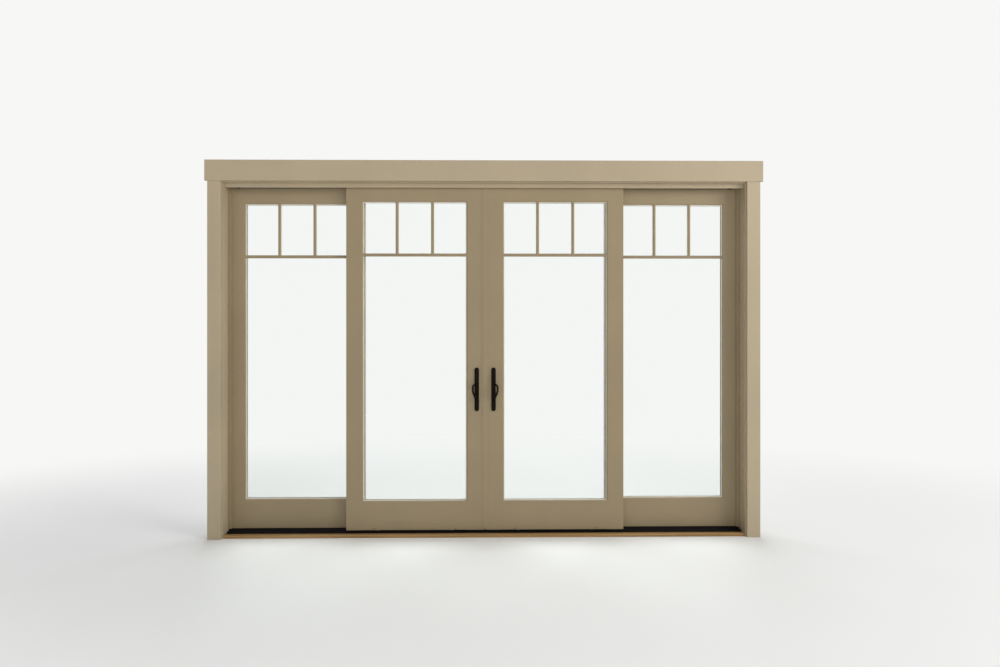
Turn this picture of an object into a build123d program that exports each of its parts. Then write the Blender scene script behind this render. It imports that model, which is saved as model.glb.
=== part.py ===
from build123d import *
import os
from math import cos, radians, sin

# Four-panel gliding French door in its frame. The outer two panels are fixed, and the inner two
# slide apart on a track in front of them. X runs along the wall, Y from the room to the outdoors
# and Z up. The origin lies under the middle of the sill, half way through the depth of the jambs.

# Frame opening
OPENING_WIDTH = 3512.0       # between the inner faces of the side jambs
SOFFIT_HEIGHT = 2385.0       # underside of the head jamb above the floor
JAMB_THICK = 32.0
HEAD_HOUSING = 10.0          # how far the head jamb is let into each side jamb
HEAD_STOP_SETBACK = 29.0     # room edge of the jambs to the room face of the head stop
HEAD_STOP_DEPTH = 22.0
HEAD_STOP_DROP = 29.0
HEAD_STOP_GAP = 5.0          # back of the head stop to the room face of the sliding panels
SIDE_STOP_DEPTH = 13.0       # strips that hold the fixed panels against the outer lip
SIDE_STOP_WIDTH = 22.0
OUTER_STOP_DEPTH = 19.0      # lip outside the fixed panels
OUTER_STOP_WIDTH = 14.0
OUTER_STOP_DROP = 35.0
HEAD_STEP = 21.0             # the soffit is this much lower above the fixed panels
JAMB_HOLE_RADIUS = 3.0
JAMB_COUNTERBORE_RADIUS = 6.0
JAMB_COUNTERBORE_DEPTH = 8.0
JAMB_HOLES = 4
JAMB_HOLE_LOW = 250.0        # lowest hole above the floor
JAMB_HOLE_HIGH = 185.0       # highest hole below the head jamb
EASE = 1.5                   # rounding of the panels' long edges
BOARD_EASE = 2.0             # rounding of the casing and stop edges

# Casing around the room side
REVEAL = 7.0
CASING_WIDTH = 89.0
CASING_THICK = 19.0
CASING_BEARING = 12.0        # flat strips left beside the shallow relief on the back
CASING_RELIEF = 2.5
HEAD_CASING_HEIGHT = 139.0
HEAD_CASING_THICK = 25.0
HEAD_CASING_OVERHANG = 17.0

# Sill, threshold and track
THRESHOLD_HEIGHT = 20.0
THRESHOLD_NOSE = 8.0
SILL_LIP = 5.0
SILL_FLOOR = 12.0            # floor of the channel under the sliding panels
SILL_SEAT = 32.4             # raised strip on which the fixed panels stand
SILL_NOSE = 25.0             # how far the sill reaches past the jambs outdoors
SILL_NOSE_HEIGHT = 12.0
SILL_SLOPE_TOP = 24.0
SEAT_LAP = 1.0               # the seat is this much wider than the fixed panels, on each side
DRIP = 6.0
TRACK_BASE_WIDTH = 22.0
TRACK_BASE_THICK = 2.0
TRACK_RAIL_WIDTH = 4.0
TRACK_TOP = 22.0
RIDE_HEIGHT = 10.4           # underside of the sliding panels above the top of the track

# Panels
PANEL_THICK = 44.0
PANEL_GAP = 8.0              # between the sliding and the fixed panels
STILE_OVERLAP = 118.5        # a sliding panel's outer edge past a fixed panel's inner edge
JAMB_GAP = 1.0
MEETING_GAP = 6.0
HEAD_GAP = 3.6               # above the fixed panels
HEAD_CLEARANCE = 14.6        # above the sliding panels
STILE_WIDTH = 114.0
MEETING_EXTRA = 10.5         # the meeting stiles are this much wider
TOP_RAIL = 108.0
BOTTOM_RAIL = 197.0
OVOLO = 8.5
QUIRK = 1.5
PUTTY_BEVEL = 8.0
GROOVE_WIDTH = 20.0
GROOVE_DEPTH = 13.0
TENON_CLEARANCE = 0.5

# Sealed glass units and the wooden grilles in front of them
GLASS_THICK = 4.0
UNIT_THICK = 19.0
SPACER_WIDTH = 9.0
EDGE_CLEARANCE = 0.5         # glass unit to the bottom of its groove
BAR_WIDTH = 21.0
BAR_SETBACK = 1.5
BAR_QUIRK = 1.0
BAR_GLASS_GAP = 0.2
LITE_HEIGHT = 349.5
LITES_ACROSS = 3

# Head guide, interlocks and astragal
GUIDE_RAIL_WIDTH = 5.0
GUIDE_BASE_WIDTH = 24.0
GUIDE_BASE_THICK = 3.0
GUIDE_DROP = 27.0
GUIDE_GROOVE_WIDTH = 8.0
GUIDE_GROOVE_DEPTH = 16.0
BUMPER_LENGTH = 22.0
BUMPER_WIDTH = 30.0
BUMPER_DROP = 29.0
BUMPER_CLEARANCE = 0.5
INTERLOCK_THICK = 1.5
INTERLOCK_BASE = 30.0
INTERLOCK_LIP = 24.0
INTERLOCK_INSET = 41.5       # a sliding panel's outer edge to the closed side of its interlock
INTERLOCK_SPAN = 40.0        # over a closed pair
INTERLOCK_END = 12.0         # short of the panel's ends
ASTRAGAL_THICK = 4.0
ASTRAGAL_COVER = 18.0        # reach over the right panel, from the middle of the doorway
ASTRAGAL_EASE = 1.5
ASTRAGAL_OVERLAP = 29.0      # reach over the left panel
ASTRAGAL_COVE = 17.0
ASTRAGAL_COVE_RADIUS = 30.0
ASTRAGAL_TIP = 1.0
ASTRAGAL_CLEARANCE = 0.6
ASTRAGAL_RAISE = 7.0

# Rollers in the bottom rails of the sliding panels
ROLLER_INSET = 189.0         # adjusting screw from the panel's edge
WHEEL_OFFSET = 25.0          # wheel beside its adjusting screw
WHEEL_TREAD_RADIUS = 14.0
WHEEL_FLANGE_RADIUS = 17.0
WHEEL_WIDTH = 10.0
WHEEL_GROOVE = 5.0
WHEEL_LIFT = 0.3
AXLE_RADIUS = 4.0
RUNNING_CLEARANCE = 0.05
CHEEK_THICK = 2.0
CHEEK_GAP = 1.0
HOUSING_LENGTH = 96.0
HOUSING_HEIGHT = 27.0
HOUSING_CLEARANCE = 0.3
ADJUSTER_HEIGHT = 8.6        # above the underside of the panel
ADJUSTER_HOLE_RADIUS = 4.5
ADJUSTER_RADIUS = 3.5
ADJUSTER_LENGTH = 8.0
ADJUSTER_SLOT = 1.0          # width and depth of the screwdriver slot

# Handles
HANDLE_BACKSET = 54.0        # from the panel's meeting edge
HANDLE_HEIGHT = 988.0
PLATE_LENGTH = 296.0
PLATE_WIDTH = 30.0
PLATE_THICK = 8.0
PLATE_BEVEL = 2.0
GRIP_ANGLE = 60.0            # the grip leans from square to the door towards the glass
GRIP_REACH = 53.0
GRIP_TOP = 33.0              # above the middle of the plate
GRIP_BOTTOM = -83.0
GRIP_TOP_RADIUS = 16.0
GRIP_LOW_RADIUS = 34.0
GRIP_KNEE = -10.0            # height of the lower bend from the middle of the plate
GRIP_RADIUS = 7.0
GRIP_ROOT = 5.0
SCREW_INSET = 13.0           # handle screws from the ends of the plate
SCREW_RADIUS = 2.5
SCREW_HEAD_RADIUS = 4.5
SCREW_HEAD_DEPTH = 2.5
SCREW_HOLE_RADIUS = 2.7
SCREW_END_WALL = 3.0
SCREW_END_GAP = 0.5
SCREW_HEAD_CLEARANCE = 0.2
STOP_MARGIN = 10.0           # outer grip to the fixed panel when the door is fully open

# Hook lock in the right panel and its strike in the left one
HOOK_RISE = 14.0             # pivot above the middle of the handle plates
HOOK_SETBACK = 14.0          # pivot from the edge of the stile
HOOK_REACH = 33.0
HOOK_NOSE = 8.5
HOOK_DROP = 12.0
HOOK_ARM_HALF = 4.5
HOOK_HUB_RADIUS = 7.0
HOOK_THICK = 5.0
PIVOT_RADIUS = 3.0
CASE_DEPTH = 63.0
CASE_THICK = 16.0
CASE_WALL = 6.0
CASE_BELOW = 50.0            # under the pivot
CASE_ABOVE = 80.0
CASE_CLEARANCE = 0.25
CAVITY_WIDTH = 6.0
FACEPLATE_THICK = 3.0
FACEPLATE_WIDTH = 22.0
FACEPLATE_EXTRA = 20.0       # past each end of the case
SLOT_BELOW = 6.0
FACE_SLOT_ABOVE = 38.0
STRIKE_THICK = 2.0
STRIKE_SLOT_ABOVE = 34.0
STRIKE_BELOW = 30.0
STRIKE_ABOVE = 60.0
STRIKE_SLOT_WIDTH = 8.0
POCKET_DEPTH = 22.0
POCKET_SIDE = 1.0            # wider than the slot, on each side
POCKET_MARGIN = 10.0         # past the hook's nose, and above the slot
TURN_HEIGHT = 61.0           # thumb turn above the hook's pivot
TURN_SHAFT_RADIUS = 4.0
TURN_COLLAR_RADIUS = 8.0
TURN_COLLAR_THICK = 3.0
TURN_WING_LENGTH = 34.0
TURN_WING_WIDTH = 9.0
TURN_WING_THICK = 12.0
TURN_PLATE_GAP = 0.3
SHAFT_HOLE_RADIUS = 6.0
CYLINDER_RADIUS = 8.5        # sleeve of the key cylinder, cast with the outdoor plate
CYLINDER_PROUD = 3.0
CYLINDER_BEVEL = 1.0
CYLINDER_CLEARANCE = 0.2
PLUG_RADIUS = 6.0
PLUG_END_GAP = 0.3
KEY_SLOT_WIDTH = 1.6
KEY_SLOT_HEIGHT = 9.0
KEY_SLOT_DEPTH = 6.0

# Places along the depth of the wall
track_depth = HEAD_STOP_GAP + PANEL_THICK + PANEL_GAP
jamb_depth = HEAD_STOP_SETBACK + HEAD_STOP_DEPTH + track_depth + PANEL_THICK + OUTER_STOP_DEPTH
y_room = -jamb_depth / 2
y_outdoors = jamb_depth / 2
y_stop = y_room + HEAD_STOP_SETBACK
y_active = y_stop + HEAD_STOP_DEPTH + HEAD_STOP_GAP
y_active_back = y_active + PANEL_THICK
y_active_mid = y_active + PANEL_THICK / 2
y_fixed = y_active_back + PANEL_GAP
y_fixed_back = y_fixed + PANEL_THICK
y_seat = y_fixed - SEAT_LAP

# Places along the wall, on the right-hand side
x_jamb = OPENING_WIDTH / 2
panel_width = (OPENING_WIDTH - MEETING_GAP - 2 * (JAMB_GAP + MEETING_EXTRA - STILE_OVERLAP)) / 4
active_width = panel_width + MEETING_EXTRA
x_fixed = x_jamb - JAMB_GAP - panel_width
x_active = MEETING_GAP / 2
x_active_outer = x_active + active_width
x_handle = x_active + HANDLE_BACKSET
x_grip_outer = x_handle + GRIP_REACH * cos(radians(GRIP_ANGLE)) + GRIP_RADIUS
travel = x_fixed - STOP_MARGIN - x_grip_outer

# Heights
z_head_top = SOFFIT_HEIGHT + JAMB_THICK
z_step = SOFFIT_HEIGHT - HEAD_STEP
z_fixed = SILL_SEAT
z_fixed_top = z_step - HEAD_GAP
z_active = TRACK_TOP + RIDE_HEIGHT
z_active_top = SOFFIT_HEIGHT - HEAD_CLEARANCE
z_casing_top = SOFFIT_HEIGHT + REVEAL
z_hook = HANDLE_HEIGHT + HOOK_RISE
z_turn = z_hook + TURN_HEIGHT
screw_reach = PLATE_LENGTH / 2 - SCREW_INSET
z_screws = (HANDLE_HEIGHT - screw_reach, HANDLE_HEIGHT + screw_reach)

SIDES = ("left", "right")


def block(xs, ys, zs, mode=Mode.ADD):
    """A box between two corners, given as low and high values along each axis."""
    middle = [(pair[0] + pair[1]) / 2 for pair in (xs, ys, zs)]
    size = [pair[1] - pair[0] for pair in (xs, ys, zs)]
    with Locations(tuple(middle)):
        Box(*size, mode=mode)


def rod(centre, radius, length, axis=Axis.Y, mode=Mode.ADD):
    """A cylinder along one axis, with its near end at the given point."""
    direction = axis.direction
    with Locations(Plane(origin=centre, z_dir=direction)):
        Cylinder(radius, length, align=(Align.CENTER, Align.CENTER, Align.MIN), mode=mode)


def save(piece, name):
    """Label a finished piece and write it under its own name."""
    piece.part.label = name
    export_step(piece.part, f"parts/{name}.step")


def to_side(side):
    """Pieces are drawn on the right, and their left-hand twins are mirror images."""
    if side == "left":
        mirror(about=Plane.YZ, mode=Mode.REPLACE)


# The frame: jambs, head, sill, track, threshold, stops and casing

def side_jamb(side):
    """Upright with a lip outside the fixed panel, a rebate for the head and its fixing holes."""
    y_hole = (y_active + y_fixed) / 2
    hole_pitch = (SOFFIT_HEIGHT - JAMB_HOLE_HIGH - JAMB_HOLE_LOW) / (JAMB_HOLES - 1)
    with BuildPart() as jamb:
        with BuildSketch(Plane.XY):
            with BuildLine():
                Polyline(
                    (x_jamb, y_room),
                    (x_jamb + JAMB_THICK, y_room),
                    (x_jamb + JAMB_THICK, y_outdoors),
                    (x_jamb - OUTER_STOP_WIDTH, y_outdoors),
                    (x_jamb - OUTER_STOP_WIDTH, y_fixed_back),
                    (x_jamb, y_fixed_back),
                    close=True,
                )
            make_face()
        extrude(amount=z_head_top)
        block(
            (x_jamb, x_jamb + HEAD_HOUSING),
            (y_room, y_outdoors),
            (SOFFIT_HEIGHT, z_head_top),
            Mode.SUBTRACT,
        )
        block(
            (x_jamb - OUTER_STOP_WIDTH, x_jamb),
            (y_fixed_back, y_outdoors),
            (SOFFIT_HEIGHT, z_head_top),
            Mode.SUBTRACT,
        )
        for i in range(JAMB_HOLES):
            z_hole = JAMB_HOLE_LOW + i * hole_pitch
            with Locations(Plane(origin=(x_jamb, y_hole, z_hole), z_dir=(-1, 0, 0))):
                CounterBoreHole(
                    JAMB_HOLE_RADIUS,
                    JAMB_COUNTERBORE_RADIUS,
                    JAMB_COUNTERBORE_DEPTH,
                    depth=JAMB_THICK,
                )
        to_side(side)
    save(jamb, f"{side}_jamb")
    return jamb


def head_jamb(jambs):
    """Board across the top, stepped down over the fixed panels and again outside them."""
    y_step = (y_active_back + y_fixed) / 2
    z_lip = SOFFIT_HEIGHT - OUTER_STOP_DROP
    x_end = x_jamb + HEAD_HOUSING
    with BuildPart() as head:
        with BuildSketch(Plane.YZ.offset(-x_end)):
            with BuildLine():
                Polyline(
                    (y_room, SOFFIT_HEIGHT),
                    (y_room, z_head_top),
                    (y_outdoors, z_head_top),
                    (y_outdoors, z_lip),
                    (y_fixed_back, z_lip),
                    (y_fixed_back, z_step),
                    (y_step, z_step),
                    (y_step, SOFFIT_HEIGHT),
                    close=True,
                )
            make_face()
        extrude(amount=2 * x_end)
        for jamb in jambs:
            add(jamb.part, mode=Mode.SUBTRACT)
    save(head, "head_jamb")


def sill(jambs):
    """Sill with a channel for the track, a seat for the fixed panels and a sloping nose."""
    y_nose = y_outdoors + SILL_NOSE
    with BuildPart() as base:
        with BuildSketch(Plane.YZ.offset(-x_jamb)):
            with BuildLine():
                Polyline(
                    (y_stop, 0),
                    (y_nose - DRIP, 0),
                    (y_nose, DRIP),
                    (y_nose, SILL_NOSE_HEIGHT),
                    (y_fixed_back + SEAT_LAP, SILL_SLOPE_TOP),
                    (y_fixed_back + SEAT_LAP, SILL_SEAT),
                    (y_seat, SILL_SEAT),
                    (y_seat, SILL_FLOOR),
                    (y_stop + SILL_LIP, SILL_FLOOR),
                    (y_stop + SILL_LIP, THRESHOLD_HEIGHT),
                    (y_stop, THRESHOLD_HEIGHT),
                    close=True,
                )
            make_face()
        extrude(amount=OPENING_WIDTH)
        for jamb in jambs:
            add(jamb.part, mode=Mode.SUBTRACT)
    save(base, "sill")


def roller_track():
    """Rail with a rounded top, standing on its own flange in the sill's channel."""
    z_flange = SILL_FLOOR + TRACK_BASE_THICK
    crown = TRACK_RAIL_WIDTH / 2
    with BuildPart() as track:
        with BuildSketch(Plane.YZ.offset(-x_jamb)):
            with Locations((y_active_mid, SILL_FLOOR)):
                Rectangle(TRACK_BASE_WIDTH, TRACK_BASE_THICK, align=(Align.CENTER, Align.MIN))
            with Locations((y_active_mid, z_flange)):
                Rectangle(TRACK_RAIL_WIDTH, TRACK_TOP - crown - z_flange, align=(Align.CENTER, Align.MIN))
            with Locations((y_active_mid, TRACK_TOP - crown)):
                Circle(crown)
        extrude(amount=OPENING_WIDTH)
    save(track, "roller_track")


def threshold():
    """Wooden nosing in front of the sill, rounded towards the room."""
    with BuildPart() as board:
        with BuildSketch(Plane.YZ.offset(-x_jamb)):
            with BuildLine():
                Polyline(
                    (y_room, THRESHOLD_HEIGHT - THRESHOLD_NOSE),
                    (y_room, 0),
                    (y_stop, 0),
                    (y_stop, THRESHOLD_HEIGHT),
                    (y_room + THRESHOLD_NOSE, THRESHOLD_HEIGHT),
                )
                RadiusArc(
                    (y_room + THRESHOLD_NOSE, THRESHOLD_HEIGHT),
                    (y_room, THRESHOLD_HEIGHT - THRESHOLD_NOSE),
                    -THRESHOLD_NOSE,
                )
            make_face()
        extrude(amount=OPENING_WIDTH)
    save(board, "threshold")


def stops():
    """Strips on the jambs in front of the fixed panels, and a board that hides the head's channel."""
    with BuildPart() as side_stop:
        block(
            (x_jamb - SIDE_STOP_WIDTH, x_jamb),
            (y_seat - SIDE_STOP_DEPTH, y_seat),
            (SILL_SEAT, z_step),
        )
        fillet(side_stop.edges().filter_by(Axis.Z).group_by(Axis.X)[0].sort_by(Axis.Y)[0], BOARD_EASE)
    save_mirrored(side_stop, "stop")
    with BuildPart() as head_stop:
        block(
            (-x_jamb, x_jamb),
            (y_stop, y_stop + HEAD_STOP_DEPTH),
            (SOFFIT_HEIGHT - HEAD_STOP_DROP, SOFFIT_HEIGHT),
        )
        fillet(head_stop.edges().filter_by(Axis.X).group_by(Axis.Z)[0], BOARD_EASE)
    save(head_stop, "head_stop")


def casings():
    """Flat boards around the opening: two legs, and a thicker head that overhangs them."""
    x_inner = x_jamb + REVEAL
    x_outer = x_inner + CASING_WIDTH
    relief_ys = (y_room - CASING_RELIEF, y_room)
    for side in SIDES:
        with BuildPart() as leg:
            block((x_inner, x_outer), (y_room - CASING_THICK, y_room), (0, z_casing_top))
            fillet(leg.edges().filter_by(Axis.Z).group_by(Axis.Y)[0], BOARD_EASE)
            block(
                (x_jamb + JAMB_THICK + CASING_BEARING, x_outer - CASING_BEARING),
                relief_ys,
                (0, z_casing_top),
                Mode.SUBTRACT,
            )
            to_side(side)
        save(leg, f"{side}_casing")
    x_head = x_outer + HEAD_CASING_OVERHANG
    with BuildPart() as head:
        block(
            (-x_head, x_head),
            (y_room - HEAD_CASING_THICK, y_room),
            (z_casing_top, z_casing_top + HEAD_CASING_HEIGHT),
        )
        fillet(head.faces().sort_by(Axis.Y)[0].edges(), BOARD_EASE)
        block(
            (-x_head, x_head),
            relief_ys,
            (z_head_top + CASING_BEARING, z_casing_top + HEAD_CASING_HEIGHT - CASING_BEARING),
            Mode.SUBTRACT,
        )
    save(head, "head_casing")


def head_guide():
    """Rail under the soffit that runs in the grooves on top of the sliding panels."""
    with BuildPart() as guide:
        with BuildSketch(Plane.YZ.offset(-x_jamb)):
            with Locations((y_active_mid, SOFFIT_HEIGHT)):
                Rectangle(GUIDE_BASE_WIDTH, GUIDE_BASE_THICK, align=(Align.CENTER, Align.MAX))
                Rectangle(GUIDE_RAIL_WIDTH, GUIDE_DROP, align=(Align.CENTER, Align.MAX))
        extrude(amount=OPENING_WIDTH)
    save(guide, "head_guide")
    x_bumper = x_active_outer + travel + BUMPER_CLEARANCE
    with BuildPart() as bumpers:
        block(
            (x_bumper, x_bumper + BUMPER_LENGTH),
            (y_active_mid - BUMPER_WIDTH / 2, y_active_mid + BUMPER_WIDTH / 2),
            (SOFFIT_HEIGHT - BUMPER_DROP, SOFFIT_HEIGHT),
        )
        add(guide.part, mode=Mode.SUBTRACT)
        mirror(about=Plane.YZ)
    save(bumpers, "head_bumpers")


# The panels: stiles, rails, sealed glass and grilles

def edge_section(width):
    """Section of a stile or rail: from its outer edge to the glass, and from the room outwards."""
    groove_front = (PANEL_THICK - GROOVE_WIDTH) / 2
    groove_back = (PANEL_THICK + GROOVE_WIDTH) / 2
    with BuildSketch() as section:
        with BuildLine():
            Polyline(
                (width - OVOLO, QUIRK),
                (width - OVOLO, 0),
                (0, 0),
                (0, PANEL_THICK),
                (width - PUTTY_BEVEL, PANEL_THICK),
                (width, PANEL_THICK - PUTTY_BEVEL),
                (width, groove_back),
                (width - GROOVE_DEPTH, groove_back),
                (width - GROOVE_DEPTH, groove_front),
                (width, groove_front),
                (width, QUIRK + OVOLO),
            )
            CenterArc((width - OVOLO, QUIRK + OVOLO), OVOLO, -90, 90)
        make_face()
        fillet(section.vertices().group_by(Axis.X)[0], EASE)
    return section.sketch


def stile(x_outer, inward, width, y_face, z_low, z_high):
    """Upright of a panel, from its outer edge towards the glass."""
    if inward > 0:
        plane = Plane(origin=(x_outer, y_face, z_low), x_dir=(1, 0, 0), z_dir=(0, 0, 1))
    else:
        plane = Plane(origin=(x_outer, y_face, z_high), x_dir=(-1, 0, 0), z_dir=(0, 0, -1))
    with BuildPart() as upright:
        with BuildSketch(plane):
            add(edge_section(width))
        extrude(amount=z_high - z_low)
    return upright


def rail(x_low, x_high, y_face, z_outer, upward, width, stiles):
    """Cross piece of a panel, with its ends coped and tenoned into the stiles."""
    if upward > 0:
        plane = Plane(origin=(x_high, y_face, z_outer), x_dir=(0, 0, 1), z_dir=(-1, 0, 0))
    else:
        plane = Plane(origin=(x_low, y_face, z_outer), x_dir=(0, 0, -1), z_dir=(1, 0, 0))
    with BuildPart() as cross:
        with BuildSketch(plane):
            add(edge_section(width))
        extrude(amount=x_high - x_low)
        for upright in stiles:
            add(upright.part, mode=Mode.SUBTRACT)
    return cross


def glass_unit(x_low, x_high, y_face, z_low, z_high):
    """Two panes sealed around a spacer, with dry air between them."""
    reach = GROOVE_DEPTH - EDGE_CLEARANCE
    y_pane = y_face + (PANEL_THICK - UNIT_THICK) / 2
    xs = (x_low - reach, x_high + reach)
    zs = (z_low - reach, z_high + reach)
    with BuildPart() as unit:
        block(xs, (y_pane, y_pane + UNIT_THICK), zs)
        block(
            (xs[0] + SPACER_WIDTH, xs[1] - SPACER_WIDTH),
            (y_pane + GLASS_THICK, y_pane + UNIT_THICK - GLASS_THICK),
            (zs[0] + SPACER_WIDTH, zs[1] - SPACER_WIDTH),
            Mode.SUBTRACT,
        )
    return unit


def bar_section(thick):
    """Section of a grille bar: flat on the glass, with a rounded shoulder down each side."""
    half = BAR_WIDTH / 2
    shoulder = half - QUIRK - BAR_QUIRK
    with BuildSketch() as section:
        with BuildLine():
            Polyline(
                (-half + shoulder, BAR_QUIRK),
                (-half + shoulder, 0),
                (half - shoulder, 0),
                (half - shoulder, BAR_QUIRK),
            )
            Polyline(
                (half, BAR_QUIRK + shoulder),
                (half, thick),
                (-half, thick),
                (-half, BAR_QUIRK + shoulder),
            )
            CenterArc((half - shoulder, BAR_QUIRK + shoulder), shoulder, -90, 90)
            CenterArc((-half + shoulder, BAR_QUIRK + shoulder), shoulder, 180, 90)
        make_face()
    return section.sketch


def grille(x_low, x_high, y_face, z_low, z_high, border):
    """One bar across the glass and the upright bars above it, coped into the frame."""
    y_bar = y_face + BAR_SETBACK
    thick = (PANEL_THICK - UNIT_THICK) / 2 - BAR_SETBACK - BAR_GLASS_GAP
    z_bar = z_high - LITE_HEIGHT - BAR_WIDTH / 2
    lite = (x_high - x_low - (LITES_ACROSS - 1) * BAR_WIDTH) / LITES_ACROSS
    with BuildPart() as bars:
        with BuildSketch(Plane(origin=(x_low - OVOLO, y_bar, z_bar), x_dir=(0, 0, -1), z_dir=(1, 0, 0))):
            add(bar_section(thick))
        extrude(amount=x_high - x_low + 2 * OVOLO)
        for i in range(1, LITES_ACROSS):
            x_bar = x_low + i * lite + (i - 0.5) * BAR_WIDTH
            with BuildSketch(Plane(origin=(x_bar, y_bar, z_bar), x_dir=(1, 0, 0), z_dir=(0, 0, 1))):
                add(bar_section(thick))
            extrude(amount=z_high + OVOLO - z_bar)
        for piece in border:
            add(piece.part, mode=Mode.SUBTRACT)
    return bars


def panel(x_left, width_left, width_right, y_face, z_low, z_high, full_width):
    """The wood and glass of one panel, as a dictionary of plain pieces."""
    x_right = x_left + full_width
    glass = (x_left + width_left, x_right - width_right)
    z_glass = (z_low + BOTTOM_RAIL, z_high - TOP_RAIL)
    left = stile(x_left, 1, width_left, y_face, z_low, z_high)
    right = stile(x_right, -1, width_right, y_face, z_low, z_high)
    reach = GROOVE_DEPTH - TENON_CLEARANCE
    span = (glass[0] - reach, glass[1] + reach)
    top = rail(*span, y_face, z_high, -1, TOP_RAIL, (left, right))
    bottom = rail(*span, y_face, z_low, 1, BOTTOM_RAIL, (left, right))
    return {
        "left": left,
        "right": right,
        "top_rail": top,
        "bottom_rail": bottom,
        "glass_unit": glass_unit(*glass, y_face, *z_glass),
        "grille": grille(*glass, y_face, *z_glass, (left, right, top, bottom)),
    }


def save_mirrored(piece, name):
    """Write a right-hand piece and its mirror image for the left-hand side."""
    for side in SIDES:
        with BuildPart() as copy:
            add(piece.part)
            to_side(side)
        save(copy, f"{side}_{name}")


def fixed_panels():
    """The outer panels, which never move."""
    pieces = panel(x_fixed, STILE_WIDTH, STILE_WIDTH, y_fixed, z_fixed, z_fixed_top, panel_width)
    names = {"left": "fixed_inner_stile", "right": "fixed_outer_stile"}
    for key, piece in pieces.items():
        save_mirrored(piece, names.get(key, f"fixed_{key}"))


# Rollers under the sliding panels

adjusters = (x_active + MEETING_EXTRA + ROLLER_INSET, x_active_outer - ROLLER_INSET)
rollers = (adjusters[0] + WHEEL_OFFSET, adjusters[1] - WHEEL_OFFSET)
z_wheel = TRACK_TOP + WHEEL_TREAD_RADIUS + WHEEL_LIFT
housing_half = WHEEL_WIDTH / 2 + CHEEK_GAP + CHEEK_THICK
z_adjuster = z_active + ADJUSTER_HEIGHT


def roller_housings():
    """Two channels let into the bottom rail, each with an axle and a height screw."""
    z_roof = z_active + HOUSING_HEIGHT
    inner_half = housing_half - CHEEK_THICK
    with BuildPart() as housings:
        for x_screw, x_wheel in zip(adjusters, rollers):
            x_middle = (x_screw + x_wheel) / 2
            xs = (x_middle - HOUSING_LENGTH / 2, x_middle + HOUSING_LENGTH / 2)
            block(xs, (y_active_mid - housing_half, y_active_mid + housing_half), (z_active, z_roof))
            block(
                xs,
                (y_active_mid - inner_half, y_active_mid + inner_half),
                (z_active, z_roof - CHEEK_THICK),
                Mode.SUBTRACT,
            )
            rod((x_wheel, y_active_mid - housing_half, z_wheel), AXLE_RADIUS, 2 * housing_half)
            y_screw = y_active_mid - housing_half - ADJUSTER_LENGTH
            rod((x_screw, y_screw, z_adjuster), ADJUSTER_RADIUS, ADJUSTER_LENGTH)
            block(
                (x_screw - ADJUSTER_RADIUS, x_screw + ADJUSTER_RADIUS),
                (y_screw, y_screw + ADJUSTER_SLOT),
                (z_adjuster - ADJUSTER_SLOT / 2, z_adjuster + ADJUSTER_SLOT / 2),
                Mode.SUBTRACT,
            )
    save_mirrored(housings, "roller_housings")


def wheels():
    """Grooved wheels that straddle the rail, each turning on its own axle."""
    half = WHEEL_WIDTH / 2
    groove = WHEEL_GROOVE / 2
    taper = (WHEEL_FLANGE_RADIUS - WHEEL_TREAD_RADIUS) / 4
    bore = AXLE_RADIUS + RUNNING_CLEARANCE
    for x_wheel, place in zip(rollers, ("inner", "outer")):
        centre = (x_wheel, y_active_mid, z_wheel)
        with BuildPart() as wheel:
            with BuildSketch(Plane(origin=centre, x_dir=(1, 0, 0), z_dir=(0, 0, 1))):
                with BuildLine():
                    Polyline(
                        (bore, -half),
                        (WHEEL_FLANGE_RADIUS, -half),
                        (WHEEL_FLANGE_RADIUS, -groove - taper),
                        (WHEEL_TREAD_RADIUS, -groove),
                        (WHEEL_TREAD_RADIUS, groove),
                        (WHEEL_FLANGE_RADIUS, groove + taper),
                        (WHEEL_FLANGE_RADIUS, half),
                        (bore, half),
                        close=True,
                    )
                make_face()
            revolve(axis=Axis(centre, (0, 1, 0)))
        save_mirrored(wheel, f"{place}_wheel")


# Interlocks between the overlapping stiles, and the astragal between the sliding panels

def hook_strip(x_closed, inward, y_base, outward, z_low, z_high):
    """Thin strip with a flat base, a web at its closed side and a lip parallel to the base."""
    gap = (PANEL_GAP - 4 * INTERLOCK_THICK) / 3
    y_lip = y_base + outward * (PANEL_GAP - INTERLOCK_THICK - gap)
    x_web = x_closed + inward * INTERLOCK_THICK
    x_lip = x_closed + inward * INTERLOCK_LIP
    x_base = x_closed + inward * INTERLOCK_BASE
    with BuildPart() as strip:
        with BuildSketch(Plane.XY.offset(z_low)):
            with BuildLine():
                Polyline(
                    (x_base, y_base),
                    (x_closed, y_base),
                    (x_closed, y_lip),
                    (x_lip, y_lip),
                    (x_lip, y_lip - outward * INTERLOCK_THICK),
                    (x_web, y_lip - outward * INTERLOCK_THICK),
                    (x_web, y_base + outward * INTERLOCK_THICK),
                    (x_base, y_base + outward * INTERLOCK_THICK),
                    close=True,
                )
            make_face()
        extrude(amount=z_high - z_low)
    return strip


def interlocks():
    """Strips that hook into each other when a sliding panel closes."""
    zs = (z_active + INTERLOCK_END, z_fixed_top - INTERLOCK_END)
    x_sliding = x_active_outer - INTERLOCK_INSET
    x_standing = x_sliding - INTERLOCK_SPAN
    save_mirrored(hook_strip(x_sliding, -1, y_active_back, 1, *zs), "interlock")
    save_mirrored(hook_strip(x_standing, 1, y_fixed, -1, *zs), "fixed_interlock")


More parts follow.
